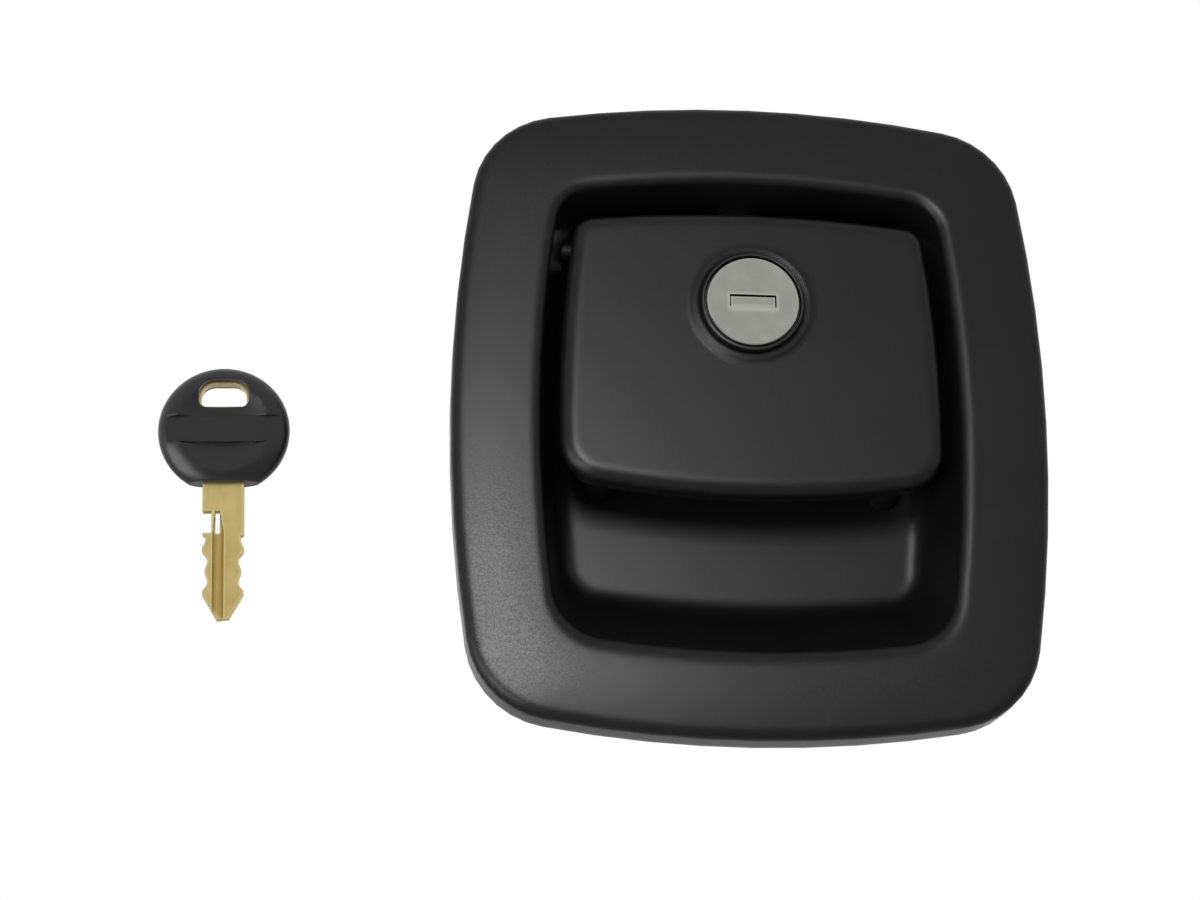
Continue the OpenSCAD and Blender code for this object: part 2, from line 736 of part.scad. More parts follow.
module hinge_clips() {
    slot_half = pin_r - groove_d - seat_gap;
    color(steel)
        both_sides()
            difference() {
                bar_x(hinge_depth, hinge_z, clip_r, clip_x, clip_x + clip_t);
                bar_x(hinge_depth, hinge_z, pin_r - groove_d + run_gap,
                    clip_x - over, clip_x + clip_t + over);
                box([clip_x - over, hinge_depth - slot_half, hinge_z - clip_r - over],
                    [clip_x + clip_t + over, hinge_depth + slot_half, hinge_z]);
            }
}

module at_bumpers() {
    for (x = [-bumper_x, bumper_x])
        translate([x, 0, bumper_z])
            children();
}

// Rubber stops for the paddle, pulled through the floor until their heads snap in
module paddle_bumpers() {
    tip_y = paddle_back + seat_gap;
    tip_draft = 0.8;
    head_lip = 0.7;
    color(rubber)
        at_bumpers()
            union() {
                translate([0, tip_y, 0])
                    rotate([-90, 0, 0])
                        cylinder(r1 = bumper_r - tip_draft, r2 = bumper_r, h = floor_y - tip_y);
                bar_y(0, 0, bumper_stem_r - press, floor_y - overlap_t, back_y + bumper_head_h);
                bar_y(0, 0, bumper_stem_r + head_lip, back_y + press, back_y + bumper_head_h);
            }
}

// Paddle: a lid with rounded front edges, drafted walls, hinge ears and a seat for the lock
module paddle_handle() {
    ease = 0.6;
    rib_sink = 1.5;
    inset = -paddle_draft - paddle_t;
    web_front = inner_y - overlap_t;
    rib_back = paddle_back - rib_sink;
    ledge_z = hinge_z - return_r - return_wire - seat_gap;
    color(black)
        difference() {
            union() {
                loft(concat(
                    [for (i = [0:soft]) ring(grow(paddle_form, -paddle_round * (1 - sin(90 * i / soft))),
                        paddle_y + paddle_round * (1 - cos(90 * i / soft)))],
                    [ring(grow(paddle_form, -paddle_draft), paddle_back - ease)],
                    [ring(grow(paddle_form, -paddle_draft - ease), paddle_back)],
                    [ring(grow(paddle_form, inset), paddle_back)],
                    [ring(grow(paddle_form, inset - ease), inner_y)]));
                translate([0, paddle_y, lock_z])
                    rotate([-90, 0, 0])
                        rotate_extrude()
                            translate([bead_r, 0])
                                circle(r = bead_h, $fn = 24);
                both_sides() {
                    box([ear_x, web_front, hinge_z - ear_r], [ear_end, hinge_depth, hinge_z]);
                    bar_x(hinge_depth, hinge_z, ear_r, ear_x, ear_end);
                    box([ear_x, web_front, bumper_z], [ear_x + ear_rib_t, rib_back, hinge_z - ear_r]);
                    bar_y(foot_screw_x, foot_screw_z, foot_boss_r, web_front, foot_base);
                }
                box([return_x - part_gap, web_front, ledge_z - ledge_t],
                    [ear_x + overlap_t, rib_back, ledge_z]);
                at_bumpers()
                    bar_y(0, 0, bumper_r, web_front, paddle_back);
            }
            bar_y(0, lock_z, barrel_r + seat_gap, paddle_y - bead_h - over, inner_y + over);
            bar_x(hinge_depth, hinge_z, bush_r, -bezel_w / 2, bezel_w / 2);
            both_sides()
                bar_y(foot_screw_x, foot_screw_z, foot_screw_r + run_gap, inner_y - over, foot_base + over);
        }
}

module hinge_bushes() {
    color(nylon)
        both_sides()
            difference() {
                union() {
                    bar_x(hinge_depth, hinge_z, bush_r - press, ear_x, ear_end);
                    bar_x(hinge_depth, hinge_z, bush_flange_r, ear_end, ear_end + bush_lip);
                }
                bar_x(hinge_depth, hinge_z, pin_bore, ear_x - over, ear_end + bush_lip + over);
            }
}

// Trip arm: a foot screwed behind the paddle, a hub on the pin and the arm that draws the bolt
module trip_arm() {
    nut_gap = 2;
    hub_in = 0.4;
    pad_step = 1;
    pad_low = foot_screw_z - pad_drop;
    foot_low = lock_z + nut_flats / 2 + nut_gap;
    foot_top = paddle_top - paddle_draft - paddle_t - foot_top_gap;
    color(steel)
        difference() {
            union() {
                box([-foot_screw_x, foot_base, foot_low], [foot_screw_x, foot_y, foot_top]);
                both_sides()
                    box([foot_screw_x - pad_w / 2, foot_base, pad_low],
                        [foot_screw_x + pad_w / 2, foot_y, foot_top - pad_step]);
                box([-arm_w / 2, foot_y - over, foot_low], [arm_w / 2, hinge_depth, foot_top]);
                bar_x(hinge_depth, hinge_z, hub_r, -hub_w / 2, hub_w / 2);
                web(-arm_w / 2, arm_w / 2)
                    translate([hinge_depth, hinge_z])
                        rotate(arm_tilt)
                            polygon([[0, hub_in - hub_r], [arm_len, -arm_half],
                                [arm_len, arm_half], [0, hub_r - hub_in]]);
                bar_x(nose_y, nose_z, nose_r, -arm_w / 2, arm_w / 2);
            }
            bar_x(hinge_depth, hinge_z, pin_bore, -hub_w, hub_w);
            both_sides()
                bar_y(foot_screw_x, foot_screw_z, foot_screw_r + hole_gap, foot_base - over, foot_y + over);
        }
}

module arm_screws() {
    drive = 3.4;
    drive_w = 0.8;
    color(steel)
        both_sides()
            difference() {
                union() {
                    bar_y(foot_screw_x, foot_screw_z, foot_screw_r,
                        inner_y - over + seat_gap, foot_y + overlap_t);
                    bar_y(foot_screw_x, foot_screw_z, foot_head_r, foot_y, foot_y + foot_head_h);
                }
                cross_slot(foot_screw_x, foot_screw_z, foot_y + foot_head_h, drive, drive_w);
            }
}

// Cross recess cut into a screw head whose top is at y
module cross_slot(x, z, y, long, wide) {
    deep = 1;
    box([x - long / 2, y - deep, z - wide / 2], [x + long / 2, y + over, z + wide / 2]);
    box([x - wide / 2, y - deep, z - long / 2], [x + wide / 2, y + over, z + long / 2]);
}

// Torsion spring that shuts the paddle: one leg lies on the paddle's ledge, one points at the pan's floor
module return_spring() {
    leg_gap = 0.4;
    floor_reach = floor_y - hinge_depth - return_wire - leg_gap;
    paddle_leg = hinge_depth - inner_y - return_wire - part_gap;
    floor_leg = sqrt(floor_reach * floor_reach - return_r * return_r);
    paddle_angle = 270;
    floor_angle = paddle_angle + return_angle + 360 * return_turns;
    color(steel)
        translate([return_x, hinge_depth, hinge_z])
            rotate([90, 0, 90])
                coil(return_r, return_wire, return_w, paddle_angle, floor_angle, paddle_leg, floor_leg);
}

// Round bar along Z, from z0 to z1
module bar_z(x, y, r, z0, z1) {
    translate([x, y, z0])
        cylinder(r = r, h = z1 - z0);
}

// Disc on the lock's axis with its front edge eased
module eased_disc(r, y0, y1) {
    ease = 0.25;
    translate([0, y0, lock_z])
        rotate([-90, 0, 0])
            cylinder(r1 = r - ease, r2 = r, h = ease);
    bar_y(0, lock_z, r, y0 + ease, y1);
}

// Lock barrel with its collar, held in the paddle by a nut
module lock_cylinder() {
    color(black)
        difference() {
            union() {
                eased_disc(collar_r, collar_y, paddle_y);
                bar_y(0, lock_z, barrel_r, paddle_y - overlap_t, barrel_end);
            }
            bar_y(0, lock_z, lock_face_r + lock_face_gap, collar_y - over, seat_y);
            bar_y(0, lock_z, plug_r + run_gap, seat_y - over, barrel_end + over);
        }
}

module lock_nut() {
    color(steel)
        difference() {
            translate([0, inner_y, lock_z])
                rotate([-90, 0, 0])
                    cylinder(d = nut_flats / cos(30), h = nut_t, $fn = 6);
            bar_y(0, lock_z, barrel_r + press, inner_y - over, inner_y + nut_t + over);
        }
}

// Plug with its bright face, keyway, wafer slots and the pocket for the shutter
module lock_plug() {
    keyway_gap = 0.2;
    pin_seat = 0.5;
    fold_room = 4;
    half = keyway_w / 2;
    low = lock_z - keyway_h / 2;
    high = lock_z + keyway_h / 2;
    color(zinc)
        difference() {
            union() {
                eased_disc(lock_face_r, plug_face_y, plug_step_y);
                bar_y(0, lock_z, plug_r, plug_step_y - overlap_t, plug_end);
            }
            box([-half - keyway_gap, plug_face_y - over, low], [half + keyway_gap, plug_step_y, high]);
            box([-half - pin_seat, shutter_y - run_gap, low - knuckle_r],
                [half + pin_seat, shutter_y + fold_room, high + keyway_gap]);
            box([-half, shutter_y, low], [half, plug_end - plug_over, high]);
            at_wafers()
                box([-wafer_w / 2 - seat_gap, -run_gap, -wafer_h / 2 - part_gap],
                    [wafer_w / 2 + seat_gap, wafer_t + run_gap, wafer_h / 2 + part_gap]);
            bar_y(0, lock_z, cam_screw_r + press, plug_end - over, plug_end + over);
        }
}

module at_wafers() {
    for (i = [0:wafer_count - 1])
        translate([0, wafer_first + i * wafer_pitch, lock_z])
            children();
}

module wafer_tumblers() {
    color(brass)
        at_wafers()
            difference() {
                box([-wafer_w / 2, 0, -wafer_h / 2], [wafer_w / 2, wafer_t, wafer_h / 2]);
                box([part_gap - keyway_w / 2, -over, seat_gap - keyway_h / 2],
                    [keyway_w / 2 - part_gap, wafer_t + over, keyway_h / 2 - seat_gap]);
            }
}

// Spring flap that shuts the keyway, turning on a pin along its lower edge
module key_shutter() {
    half = keyway_w / 2;
    color(zinc)
        difference() {
            union() {
                box([-half, shutter_y, shutter_z], [half, shutter_y + shutter_t, shutter_z + shutter_h]);
                bar_x(shutter_axis_y, shutter_z, knuckle_r, -half, half);
            }
            bar_x(shutter_axis_y, shutter_z, shutter_pin_r, -keyway_w, keyway_w);
        }
}

module shutter_pin() {
    pin_out = 0.2;
    half = keyway_w / 2 + pin_out;
    color(steel)
        bar_x(shutter_axis_y, shutter_z, shutter_pin_r, -half, half);
}

module lock_cam() {
    round_in = 1;
    color(steel)
        slab(cam_y, cam_y + cam_t)
            translate([0, lock_z])
                difference() {
                    union() {
                        circle(r = plug_r - round_in);
                        translate([cam_w / 2 - cam_reach, -cam_w / 2])
                            square([cam_reach - cam_w / 2, cam_w]);
                        translate([cam_w / 2 - cam_reach, 0])
                            circle(r = cam_w / 2);
                    }
                    circle(r = cam_screw_r + run_gap);
                }
}

module cam_screw() {
    drive_w = 0.8;
    head_y = cam_y + cam_t;
    color(steel)
        difference() {
            union() {
                bar_y(0, lock_z, cam_screw_r, plug_end - over + seat_gap, head_y + seat_gap);
                bar_y(0, lock_z, cam_head_r, head_y, head_y + cam_head_h);
            }
            box([-cam_head_r - over, head_y + cam_head_h / 2, lock_z - drive_w / 2],
                [cam_head_r + over, head_y + cam_head_h + over, lock_z + drive_w / 2]);
        }
}

// Outline shared by the plate and the guide: a strip with round feet for the screws
module guide_outline() {
    translate([-strip_half, -seat_low - guide_t])
        square([2 * strip_half, guide_top + seat_low + guide_t]);
    for (z = [-post_low, post_top])
        translate([0, z]) {
            square([2 * post_x, 2 * guide_foot_r], center = true);
            for (x = [-post_x, post_x])
                translate([x, 0])
                    circle(r = guide_foot_r);
        }
}

// Plate on the posts: the front wall of the bolt's guide, with a slot for the arm
module guide_plate() {
    arm_room = 1.2;
    color(steel)
        slab(plate_y, flange_y)
            difference() {
                guide_outline();
                translate([-arm_w / 2 - arm_room, arm_low - overlap_t])
                    square([arm_w + 2 * arm_room, arm_high - arm_low]);
                for (x = [-post_x, post_x], z = [-post_low, post_top])
                    translate([x, z])
                        circle(r = screw_r + hole_gap);
            }
}

// Folded steel guide: a channel for the bolt, feet for the screws and the seat for the spring
module bolt_guide() {
    inner = bolt_w / 2 + guide_gap;
    color(steel)
        difference() {
            union() {
                slab(flange_y, flange_y + guide_t)
                    guide_outline();
                box([-strip_half, flange_y, -seat_low - guide_t],
                    [strip_half, guide_back + guide_t, guide_top]);
            }
            box([-inner, flange_y - over, -seat_low], [inner, guide_back, guide_top + over]);
            at_posts()
                bar_y(0, 0, screw_r + hole_gap, flange_y - over, flange_y + guide_t + over);
            for (z = [guide_hole_low, guide_hole_low + guide_hole_span])
                bar_y(0, z, guide_hole_r, guide_back - over, guide_back + guide_t + over);
        }
}

module guide_screws() {
    drive = 4.4;
    drive_w = 1;
    top_y = flange_y + guide_t;
    color(steel)
        at_posts()
            difference() {
                union() {
                    bar_y(0, 0, screw_r - press, back_y + overlap_t, top_y + overlap_t);
                    bar_y(0, 0, head_screw_r, top_y, top_y + head_screw_h);
                }
                cross_slot(0, 0, top_y + head_screw_h, drive, drive_w);
            }
}

// Bevelled spring bolt with the slot that the arm's nose works in
module latch_bolt() {
    slot_side = 0.6;
    nose_land = 1.2;
    pocket_room = 0.5;
    lead_y = nose_y - nose_land;
    color(zinc)
        difference() {
            web(-bolt_w / 2, bolt_w / 2)
                polygon([[bolt_y, bolt_foot], [bolt_back, bolt_foot], [bolt_back, bolt_top - bevel_h],
                    [bolt_y + bevel_tip, bolt_top], [bolt_y, bolt_top]]);
            web(-arm_w / 2 - slot_side, arm_w / 2 + slot_side)
                polygon([[bolt_y - over, slot_z - slot_lead], [lead_y, slot_z], [slot_y, slot_z],
                    [slot_y, slot_top], [bolt_y - over, slot_top]]);
            bar_z(0, bolt_mid_y, spring_r + pocket_room, bolt_foot - over, bolt_foot + spring_pocket);
        }
}

module bolt_spring() {
    height = bolt_foot + spring_pocket + seat_low - 2 * spring_end_gap;
    color(steel)
        translate([0, bolt_mid_y, spring_end_gap - seat_low])
            coil(spring_r - wire_r, wire_r, height, 0, 360 * spring_turns, 0, 0);
}

// One cut edge of the blade, from the bow down to the tip: flats at the cuts and at the tops between them
function cut_edge() = concat(
    [[blade_half, shank_h], [blade_half, cut_flat - cut_start]],
    [for (k = [0:len(cut_depths) - 1], top = [0, 1], side = [-1, 1])
        [blade_half - (top == 1 ? top_depths[k] : cut_depths[k]),
            -cut_start - (k + top / 2) * cut_pitch - side * cut_flat / (2 + top)]],
    [[tip_w / 2, -blade_len]]);

// The key stands apart, leaning about the middle of its head
module at_key() {
    translate([key_x, 0, key_z + head_mid])
        rotate([0, -key_lean, 0])
            translate([0, 0, -head_mid])
                children();
}

// Key blade: brass, cut on both edges and grooved on both faces, with its bow moulded into the head
module key_blade() {
    edge = cut_edge();
    last = len(edge) - 1;
    front = blade_y - blade_t / 2;
    back = blade_y + blade_t / 2;
    notch_low = -notch_drop - notch_h;
    groove_x = slot_x + slot_w + notch_web - groove_w;
    color(brass)
        at_key()
            difference() {
                union() {
                    slab(front, back)
                        polygon(concat(edge, [for (i = [last:-1:0]) [-edge[i][0], edge[i][1]]]));
                    bar_y(0, head_mid, bow_r, front, back);
                }
                box([-blade_w, front - over, notch_low], [notch_d - blade_half, back + over, -notch_drop]);
                box([slot_x, front - over, notch_low], [slot_x + slot_w, back + over, -notch_drop]);
                slab(front - over, front + groove_t)
                    polygon([[groove_x, notch_low], [groove_x, -blade_len - over],
                        [groove_x + groove_w, -blade_len - over], [groove_x + groove_w, notch_low],
                        [slot_x + slot_w, -notch_drop], [slot_x, -notch_drop]]);
                box([-groove_x - groove_w, back - groove_t, -blade_len - over],
                    [-groove_x, back + over, -notch_drop]);
                slab(front - over, back + over)
                    ring_hole_outline(ring_hole_lip);
            }
}

// Points round a quarter of a circle
function quarter_turn(c, r, a) = [for (i = [0:6]) c + r * [cos(a + 15 * i), sin(a + 15 * i)]];

// Arched hole near the top of the key's head, flat below, in the head's own frame
module ring_hole_outline(inset) {
    half = ring_hole_w / 2 - inset;
    high = ring_hole_top - inset;
    low = ring_hole_top - ring_hole_h + inset;
    high_r = ring_high_r - inset;
    low_r = ring_low_r - inset;
    polygon(concat(
        quarter_turn([half - low_r, low + low_r], low_r, -90),
        quarter_turn([half - high_r, high - high_r], high_r, 0),
        quarter_turn([high_r - half, high - high_r], high_r, 90),
        quarter_turn([low_r - half, low + low_r], low_r, 180)));
}

// Moulded head: a round with a soft edge, cut off at the shoulder, dished faces and a flat band
module key_head() {
    core_r = head_r - head_round;
    color(black)
        at_key()
            difference() {
                translate([0, blade_y, head_mid])
                    rotate([-90, 0, 0])
                        rotate_extrude()
                            union() {
                                translate([0, -head_t / 2])
                                    square([core_r, head_t]);
                                translate([0, head_round - head_t / 2])
                                    square([head_r, head_t - 2 * head_round]);
                                for (y = [-1, 1])
                                    translate([core_r, y * (head_t / 2 - head_round)])
                                        circle(r = head_round, $fn = 24);
                            }
                box([-head_r, -head_t - over, -head_r], [head_r, over, 0]);
                slab(-head_t - over, over)
                    ring_hole_outline(0);
                for (side = [-1, 1]) {
                    translate([0, blade_y + side * (head_t / 2 + dish_r - dish_d), head_mid])
                        sphere(r = dish_r);
                    translate([0, blade_y + side * (head_t / 2 + over - dish_d), band_z])
                        cube([2 * band_half, 2 * over, band_h], center = true);
                }
                key_blade_room();
            }
}

// Room in the head for the blade's shank and bow
module key_blade_room() {
    slab(blade_y - blade_t / 2, blade_y + blade_t / 2) {
        translate([-blade_half, -over])
            square([blade_w, shank_h + over]);
        translate([0, head_mid])
            circle(r = bow_r);
    }
}

pan_housing();
flange_gasket();
mounting_studs();
hinge_pin();
hinge_clips();
paddle_bumpers();
guide_plate();
bolt_guide();
guide_screws();
bolt_spring();
paddle_handle();
hinge_bushes();
trip_arm();
arm_screws();
return_spring();
lock_cylinder();
lock_nut();
lock_plug();
wafer_tumblers();
key_shutter();
shutter_pin();
lock_cam();
cam_screw();
latch_bolt();
key_blade();
key_head();
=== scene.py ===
import json
from math import pi, radians

import bpy
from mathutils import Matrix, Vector

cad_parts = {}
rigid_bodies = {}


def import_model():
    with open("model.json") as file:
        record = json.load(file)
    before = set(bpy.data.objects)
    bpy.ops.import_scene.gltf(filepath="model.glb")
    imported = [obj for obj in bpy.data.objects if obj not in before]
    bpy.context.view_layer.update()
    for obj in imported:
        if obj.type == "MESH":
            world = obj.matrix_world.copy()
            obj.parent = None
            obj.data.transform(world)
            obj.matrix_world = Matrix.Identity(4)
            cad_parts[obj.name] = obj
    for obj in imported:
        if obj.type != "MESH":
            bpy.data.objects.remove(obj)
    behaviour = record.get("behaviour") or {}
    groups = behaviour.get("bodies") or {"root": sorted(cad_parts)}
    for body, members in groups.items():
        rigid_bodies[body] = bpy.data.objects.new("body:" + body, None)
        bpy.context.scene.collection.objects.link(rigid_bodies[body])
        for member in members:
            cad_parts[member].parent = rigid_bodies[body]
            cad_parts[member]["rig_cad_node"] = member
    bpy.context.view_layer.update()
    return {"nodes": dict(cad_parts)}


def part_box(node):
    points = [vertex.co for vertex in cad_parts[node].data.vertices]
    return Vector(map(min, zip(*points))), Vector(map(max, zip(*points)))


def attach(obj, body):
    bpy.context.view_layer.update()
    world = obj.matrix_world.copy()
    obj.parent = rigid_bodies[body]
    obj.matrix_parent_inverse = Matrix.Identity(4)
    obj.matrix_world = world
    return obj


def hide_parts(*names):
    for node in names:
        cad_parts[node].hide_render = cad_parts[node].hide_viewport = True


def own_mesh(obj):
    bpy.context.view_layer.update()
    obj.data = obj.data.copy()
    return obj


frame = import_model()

# The studio. A white room over a pale floor, with three soft boxes at the left of the latch: one
# in front, one low down and a large one at the side. The camera stands low and to the left, and
# looks up at the latch.
WALL_LIGHT, WALL_WHITE, FLOOR_PALE = 0.12, 1.0, 0.7
CAMERA_AT = Vector((-0.0751, -0.4910, -0.1658))
CAMERA_LOOK = Vector((0.0877, 0.947, 0.3085))
SENSOR_MM, LENS_MM, NEAREST = 36, 77.385, 0.02
FLOOR_Z, FLOOR_WIDE = -0.42, 6

studio = bpy.context.scene
studio.view_settings.view_transform = "Standard"


def in_view(tree):
    """1 for what is seen straight on, mirrored or through glass, and 0 for light alone."""
    ray = tree.nodes.new("ShaderNodeLightPath")
    seen = ray.outputs["Is Camera Ray"]
    for path in ("Is Glossy Ray", "Is Transmission Ray"):
        either = tree.nodes.new("ShaderNodeMath")
        either.operation = "MAXIMUM"
        tree.links.new(seen, either.inputs[0])
        tree.links.new(ray.outputs[path], either.inputs[1])
        seen = either.outputs[0]
    return seen


def blended(tree, share, first, second):
    """Goes from one shader to another by a share."""
    blend = tree.nodes.new("ShaderNodeMixShader")
    tree.links.new(share, blend.inputs[0])
    tree.links.new(first, blend.inputs[1])
    tree.links.new(second, blend.inputs[2])
    return blend.outputs[0]


room = bpy.data.worlds.new("white_room")
studio.world = room
room.use_nodes = True
sky = room.node_tree
sky.nodes.clear()
walls = []
for strength in (WALL_LIGHT, WALL_WHITE):
    wall = sky.nodes.new("ShaderNodeBackground")
    wall.inputs["Color"].default_value = (1, 1, 1, 1)
    wall.inputs["Strength"].default_value = strength
    walls.append(wall.outputs[0])
room_out = sky.nodes.new("ShaderNodeOutputWorld")
sky.links.new(blended(sky, in_view(sky), *walls), room_out.inputs[0])

bpy.ops.object.select_all(action="DESELECT")
bpy.ops.object.camera_add(location=CAMERA_AT,
                          rotation=CAMERA_LOOK.to_track_quat("-Z", "Y").to_euler())
camera = bpy.context.object
camera.data.sensor_width = SENSOR_MM
camera.data.lens = LENS_MM
camera.data.clip_start = NEAREST
studio.camera = camera


def soft_box(name, at, aim, wide, high, watts):
    """A rectangular studio lamp that points from one place at another."""
    turn = (Vector(aim) - Vector(at)).to_track_quat("-Z", "Y").to_euler()
    bpy.ops.object.light_add(type="AREA", location=at, rotation=turn)
    lamp = bpy.context.object
    lamp.name = name
    lamp.data.shape = "RECTANGLE"
    lamp.data.size = wide
    lamp.data.size_y = high
    lamp.data.energy = watts
    lamp.visible_camera = False
    return lamp


main_box = soft_box("main_soft_box", at=(-0.09, -0.62, 0.07), aim=(0, 0, 0),
                    wide=0.16, high=0.18, watts=3.6)
low_box = soft_box("low_soft_box", at=(-0.36, -0.52, -0.30), aim=(-0.03, 0, -0.015),
                   wide=0.28, high=0.20, watts=2.0)
side_box = soft_box("side_soft_box", at=(-0.56, -0.32, -0.25), aim=(-0.06, 0, -0.006),
                    wide=0.50, high=0.50, watts=3.4)

bpy.ops.object.select_all(action="DESELECT")
bpy.ops.mesh.primitive_plane_add(size=FLOOR_WIDE, location=(0, 0, FLOOR_Z))
floor = bpy.context.object
floor.name = "floor"
floor_paint = bpy.data.materials.new("pale_floor")
floor_paint.use_nodes = True
paint = floor_paint.node_tree
matt = paint.nodes["Principled BSDF"]
matt.inputs["Roughness"].default_value = 0.9
mottle = paint.nodes.new("ShaderNodeTexNoise")
mottle.inputs["Scale"].default_value = 3
mottle_tone = paint.nodes.new("ShaderNodeValToRGB")
mottle_tone.color_ramp.elements[0].color = (0.78, 0.78, 0.78, 1)
mottle_tone.color_ramp.elements[1].color = (0.84, 0.84, 0.84, 1)
paint.links.new(mottle.outputs["Fac"], mottle_tone.inputs["Fac"])
paint.links.new(mottle_tone.outputs["Color"], matt.inputs["Base Color"])
glow = paint.nodes.new("ShaderNodeEmission")
paint.links.new(mottle_tone.outputs["Color"], glow.inputs["Color"])
pale_share = paint.nodes.new("ShaderNodeMapRange")
pale_share.inputs["To Max"].default_value = FLOOR_PALE
paint.links.new(in_view(paint), pale_share.inputs["Value"])
paint.links.new(blended(paint, pale_share.outputs["Result"], matt.outputs[0], glow.outputs[0]),
                paint.nodes["Material Output"].inputs["Surface"])
floor.data.materials.append(floor_paint)

# The pan. One zinc casting holds the crowned bezel, the rounded mouth, the scooped recess and the
# pocket behind the lock. It is powder coated satin black with a fine, even texture.
JOIN_WITHIN, FLAT_WITHIN = 0.000002, radians(0.1)
NOISE_LOW, NOISE_HIGH = 0.3, 0.7
NEAR_RAYS = 6
# Painted edge highlight, with a little wear: how near an inside face must be, and the most of the
# lighter colour laid on.
EDGE_SHEEN_REACH, EDGE_SHEEN_MOST = 0.0006, 0.8


def carved(piece, how, tool):
    """Cuts a piece to or by a tool, which is used up."""
    cut = piece.modifiers.new("cut", "BOOLEAN")
    cut.operation = how
    cut.object = tool
    bpy.context.view_layer.objects.active = piece
    bpy.ops.object.modifier_apply(modifier=cut.name)
    bpy.data.objects.remove(tool)


def dressed(node, name, body, finish, ease=0.0002, steps=2, corner=35, within=None):
    """A merged copy of a CAD node, cut to lie within a shape where one is given. Edges sharper
    than corner degrees are eased by ease metres. The copy stands for the node."""
    bpy.ops.object.select_all(action="DESELECT")
    source = frame["nodes"][node]
    source.select_set(True)
    bpy.context.view_layer.objects.active = source
    bpy.ops.object.duplicate()
    piece = bpy.context.view_layer.objects.active
    piece.name = name
    del piece["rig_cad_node"]
    piece.data.materials.clear()
    bpy.ops.mesh.customdata_custom_splitnormals_clear()
    bpy.ops.object.mode_set(mode="EDIT")
    bpy.ops.mesh.select_all(action="SELECT")
    bpy.ops.mesh.remove_doubles(threshold=JOIN_WITHIN)
    bpy.ops.mesh.dissolve_limited(angle_limit=FLAT_WITHIN)
    bpy.ops.object.mode_set(mode="OBJECT")
    if within:
        carved(piece, "INTERSECT", within)
    edges = piece.modifiers.new("eased_edges", "BEVEL")
    edges.width = ease
    edges.segments = steps
    edges.limit_method = "ANGLE"
    edges.angle_limit = radians(corner)
    bpy.ops.object.modifier_apply(modifier=edges.name)
    bpy.ops.object.shade_smooth_by_angle(angle=radians(corner))
    flats = piece.modifiers.new("flat_faces", "WEIGHTED_NORMAL")
    flats.keep_sharp = True
    bpy.ops.object.modifier_apply(modifier=flats.name)
    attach(piece, body)
    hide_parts(node)
    piece.data.materials.append(finish)
    return piece


def blank_finish(name):
    """A new material: its tree, its shader and the Object coordinates that its patterns lie on."""
    finish = bpy.data.materials.new(name)
    finish.use_nodes = True
    tree = finish.node_tree
    place = tree.nodes.new("ShaderNodeTexCoord").outputs["Object"]
    return finish, tree, tree.nodes["Principled BSDF"], place


def grain(tree, place, scale, detail=3, stretch=(1, 1, 1)):
    """Noise with a grain of about 1 / scale metres, longer along the axes with a small stretch."""
    stretched = tree.nodes.new("ShaderNodeMapping")
    stretched.inputs["Scale"].default_value = stretch
    noise = tree.nodes.new("ShaderNodeTexNoise")
    noise.inputs["Scale"].default_value = scale
    noise.inputs["Detail"].default_value = detail
    tree.links.new(place, stretched.inputs["Vector"])
    tree.links.new(stretched.outputs["Vector"], noise.inputs["Vector"])
    return noise.outputs["Fac"]


def spread(tree, value, low, high, start=NOISE_LOW, end=NOISE_HIGH):
    """Spreads a pattern's values from start to end over low to high."""
    ranged = tree.nodes.new("ShaderNodeMapRange")
    ranged.inputs["From Min"].default_value = start
    ranged.inputs["From Max"].default_value = end
    ranged.inputs["To Min"].default_value = low
    ranged.inputs["To Max"].default_value = high
    tree.links.new(value, ranged.inputs["Value"])
    return ranged.outputs["Result"]


def toned(tree, value, dark, light):
    """Turns a pattern into a colour between two."""
    ramp = tree.nodes.new("ShaderNodeValToRGB")
    ramp.color_ramp.elements[0].position = NOISE_LOW
    ramp.color_ramp.elements[0].color = (*dark, 1)
    ramp.color_ramp.elements[1].position = NOISE_HIGH
    ramp.color_ramp.elements[1].color = (*light, 1)
    tree.links.new(value, ramp.inputs["Fac"])
    return ramp.outputs["Color"]


def openness(tree, reach, inside=False):
    """How free a point is of the piece's own near faces, looking out from it or into the piece."""
    look = tree.nodes.new("ShaderNodeAmbientOcclusion")
    look.inside = inside
    look.only_local = True
    look.samples = NEAR_RAYS
    look.inputs["Distance"].default_value = reach
    return look.outputs["AO"]


def laid_over(tree, share, under, over):
    """Lays a plain colour over a pattern by a share."""
    mixed = tree.nodes.new("ShaderNodeMix")
    mixed.data_type = "RGBA"
    tree.links.new(share, mixed.inputs["Factor"])
    tree.links.new(under, mixed.inputs["A"])
    mixed.inputs["B"].default_value = (*over, 1)
    return mixed.outputs["Result"]


def edge_sheen_and_wear(tree, colour, sheen_and_wear):
    """Lays a lighter colour along the outer edges, where another face is near inside the piece: a
    painted edge highlight, with a little wear.
    """
    edge = spread(tree, openness(tree, EDGE_SHEEN_REACH, inside=True),
                  low=EDGE_SHEEN_MOST, high=0, start=0.55, end=0.95)
    return laid_over(tree, edge, colour, sheen_and_wear)


def surfaced(tree, shader, colour, rough, specular=0.5, metal=0):
    """Gives a shader its colour, its roughness and the strength of its sheen."""
    tree.links.new(colour, shader.inputs["Base Color"])
    tree.links.new(rough, shader.inputs["Roughness"])
    shader.inputs["Specular IOR Level"].default_value = specular
    shader.inputs["Metallic"].default_value = metal


